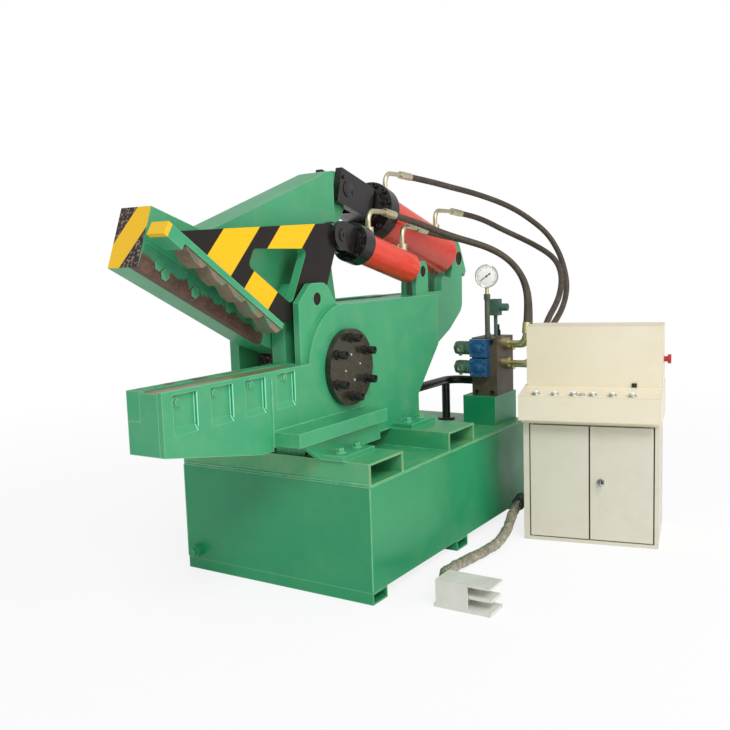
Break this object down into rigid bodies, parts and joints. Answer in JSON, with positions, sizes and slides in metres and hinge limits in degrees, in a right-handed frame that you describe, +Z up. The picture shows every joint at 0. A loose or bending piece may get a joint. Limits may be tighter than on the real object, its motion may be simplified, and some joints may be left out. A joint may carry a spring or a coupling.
{
  "type": "alligator shear",
  "caption": "Hydraulic alligator shear with hinged upper jaw, toothed clamp arm and two cylinders on an oil tank, with valve stand, control cabinet and foot switch.",
  "frame": {"origin": "plan centre of the oil tank at floor level, under the middle skid", "axes": "+X from the open jaws to the cylinder ears, +Z up, +Y away from the side with the clamp arm"},
  "size_m": [2.8257, 1.6573, 1.6602],
  "materials": {
    "frame_paint": "gloss mid green enamel",
    "tank_paint": "gloss teal green enamel",
    "jaw_paint": "green enamel with yellow and black stripes on the nose",
    "arm_paint": "green enamel with yellow and black stripes",
    "worn_steel": "rusty brown tool steel with paint overspray",
    "black_paint": "gloss black enamel",
    "red_paint": "gloss red-orange enamel",
    "rod_chrome": "hard chrome",
    "pin_steel": "oiled dark steel",
    "zinc_fitting": "yellow zinc plating",
    "hose_rubber": "dusty dark rubber cover",
    "manifold_steel": "grey-brown oiled steel",
    "valve_blue": "blue valve enamel",
    "coil_plastic": "grey-green moulded plastic",
    "gauge_chrome": "bright steel case, white dial",
    "cabinet_cream": "satin cream powder coat",
    "door_grey": "satin pale grey powder coat",
    "button_chrome": "bright bezels",
    "stop_red": "gloss red",
    "switch_grey": "hammered pale grey paint",
    "cable_wrap": "crumpled film over a grey conduit"
  },
  "bodies": {
    "machine": {"near_side_plate": "frame_paint", "lug_plate": "frame_paint", "middle_plate": "frame_paint", "far_side_plate": "frame_paint", "frame_spacers": "frame_paint", "lower_jaw_beam": "frame_paint", "base_shelves": "frame_paint", "foot_webs": "frame_paint", "foot_pads": "frame_paint", "clamp_cylinder_ears": "frame_paint", "main_cylinder_ears": "frame_paint", "oil_tank": "tank_paint", "tank_lid": "tank_paint", "tank_skids": "tank_paint", "mounting_rails": "tank_paint", "drain_plug": "tank_paint", "valve_stand": "tank_paint", "lower_blade": "worn_steel", "pivot_covers": "black_paint", "return_pipe": "black_paint", "pivot_pin": "pin_steel", "cross_pins": "pin_steel", "manifold_fittings": "zinc_fitting", "main_head_hose": "hose_rubber", "main_rear_hose": "hose_rubber", "clamp_head_hose": "hose_rubber", "clamp_rear_hose": "hose_rubber", "manifold_block": "manifold_steel", "solenoid_valves": "valve_blue", "solenoid_coils": "coil_plastic", "pressure_switch": "coil_plastic", "cabinet_gland": "coil_plastic", "pressure_gauge": "gauge_chrome", "cabinet_shell": "cabinet_cream", "control_desk": "cabinet_cream", "desk_back_panel": "cabinet_cream", "push_buttons": "button_chrome", "emergency_stop": "stop_red", "switch_base": "switch_grey", "switch_housing": "switch_grey", "foot_cable": "cable_wrap"},
    "upper_jaw": {"upper_jaw": "jaw_paint", "upper_blade": "worn_steel"},
    "clamp_arm": {"clamp_arm": "arm_paint", "clamp_bar": "arm_paint", "clamp_teeth": "worn_steel"},
    "main_barrel": {"main_barrel": "red_paint", "main_cylinder_head": "black_paint", "main_port_fittings": "zinc_fitting"},
    "main_rod": {"main_rod": "rod_chrome", "main_rod_yoke": "black_paint"},
    "clamp_barrel": {"clamp_barrel": "red_paint", "clamp_cylinder_head": "black_paint", "clamp_port_fittings": "zinc_fitting"},
    "clamp_rod": {"clamp_rod": "rod_chrome", "clamp_rod_fork": "black_paint"},
    "left_door": {"left_door": "door_grey"},
    "right_door": {"right_door": "door_grey"},
    "foot_pedal": {"foot_pedal": "switch_grey"}
  },
  "joints": [
    {"name": "jaw_pivot", "type": "hinge", "parent": "machine", "child": "upper_jaw", "pos_m": [-0.425, 0.0545, 0.825], "axis": [0, -1, 0], "range_deg": [0, 25]},
    {"name": "clamp_pivot", "type": "hinge", "parent": "machine", "child": "clamp_arm", "pos_m": [-0.581, -0.101, 1.102], "axis": [0, -1, 0], "range_deg": [0, 28]},
    {"name": "main_barrel_swing", "type": "hinge", "parent": "machine", "child": "main_barrel", "pos_m": [0.888, 0.0545, 1.235], "axis": [0, -1, 0], "range_deg": [0, 1.75], "deforming": ["main_head_hose", "main_rear_hose"]},
    {"name": "main_rod_slide", "type": "slide", "parent": "main_barrel", "child": "main_rod", "axis": [-0.9577, 0, 0.2878], "range_m": [0, 0.3328]},
    {"name": "clamp_barrel_swing", "type": "hinge", "parent": "machine", "child": "clamp_barrel", "pos_m": [0.272, -0.101, 1.182], "axis": [0, -1, 0], "range_deg": [-2.48, 0], "deforming": ["clamp_head_hose", "clamp_rear_hose"]},
    {"name": "clamp_rod_slide", "type": "slide", "parent": "clamp_barrel", "child": "clamp_rod", "axis": [-0.97, 0, 0.2432], "range_m": [0, 0.15171]},
    {"name": "left_door_hinge", "type": "hinge", "parent": "machine", "child": "left_door", "pos_m": [0.25154, -0.67259, 0.266], "axis": [0, 0, -1], "range_deg": [0, 85]},
    {"name": "right_door_hinge", "type": "hinge", "parent": "machine", "child": "right_door", "pos_m": [0.35172, -1.15632, 0.266], "axis": [0, 0, 1], "range_deg": [0, 100]},
    {"name": "pedal_hinge", "type": "hinge", "parent": "machine", "child": "foot_pedal", "pos_m": [-0.5735, -0.766, 0.052], "axis": [1, 0, 0], "range_deg": [0, 12], "stiffness_Nm_per_rad": 3, "springref_deg": -22.92}
  ],
  "couplings": [
    {"joint": "main_barrel_swing", "follows": "jaw_pivot", "ratio": 0.070165},
    {"joint": "main_rod_slide", "follows": "jaw_pivot", "m_per_rad": 0.76265},
    {"joint": "clamp_barrel_swing", "follows": "clamp_pivot", "ratio": -0.08854},
    {"joint": "clamp_rod_slide", "follows": "clamp_pivot", "m_per_rad": 0.31041}
  ]
}
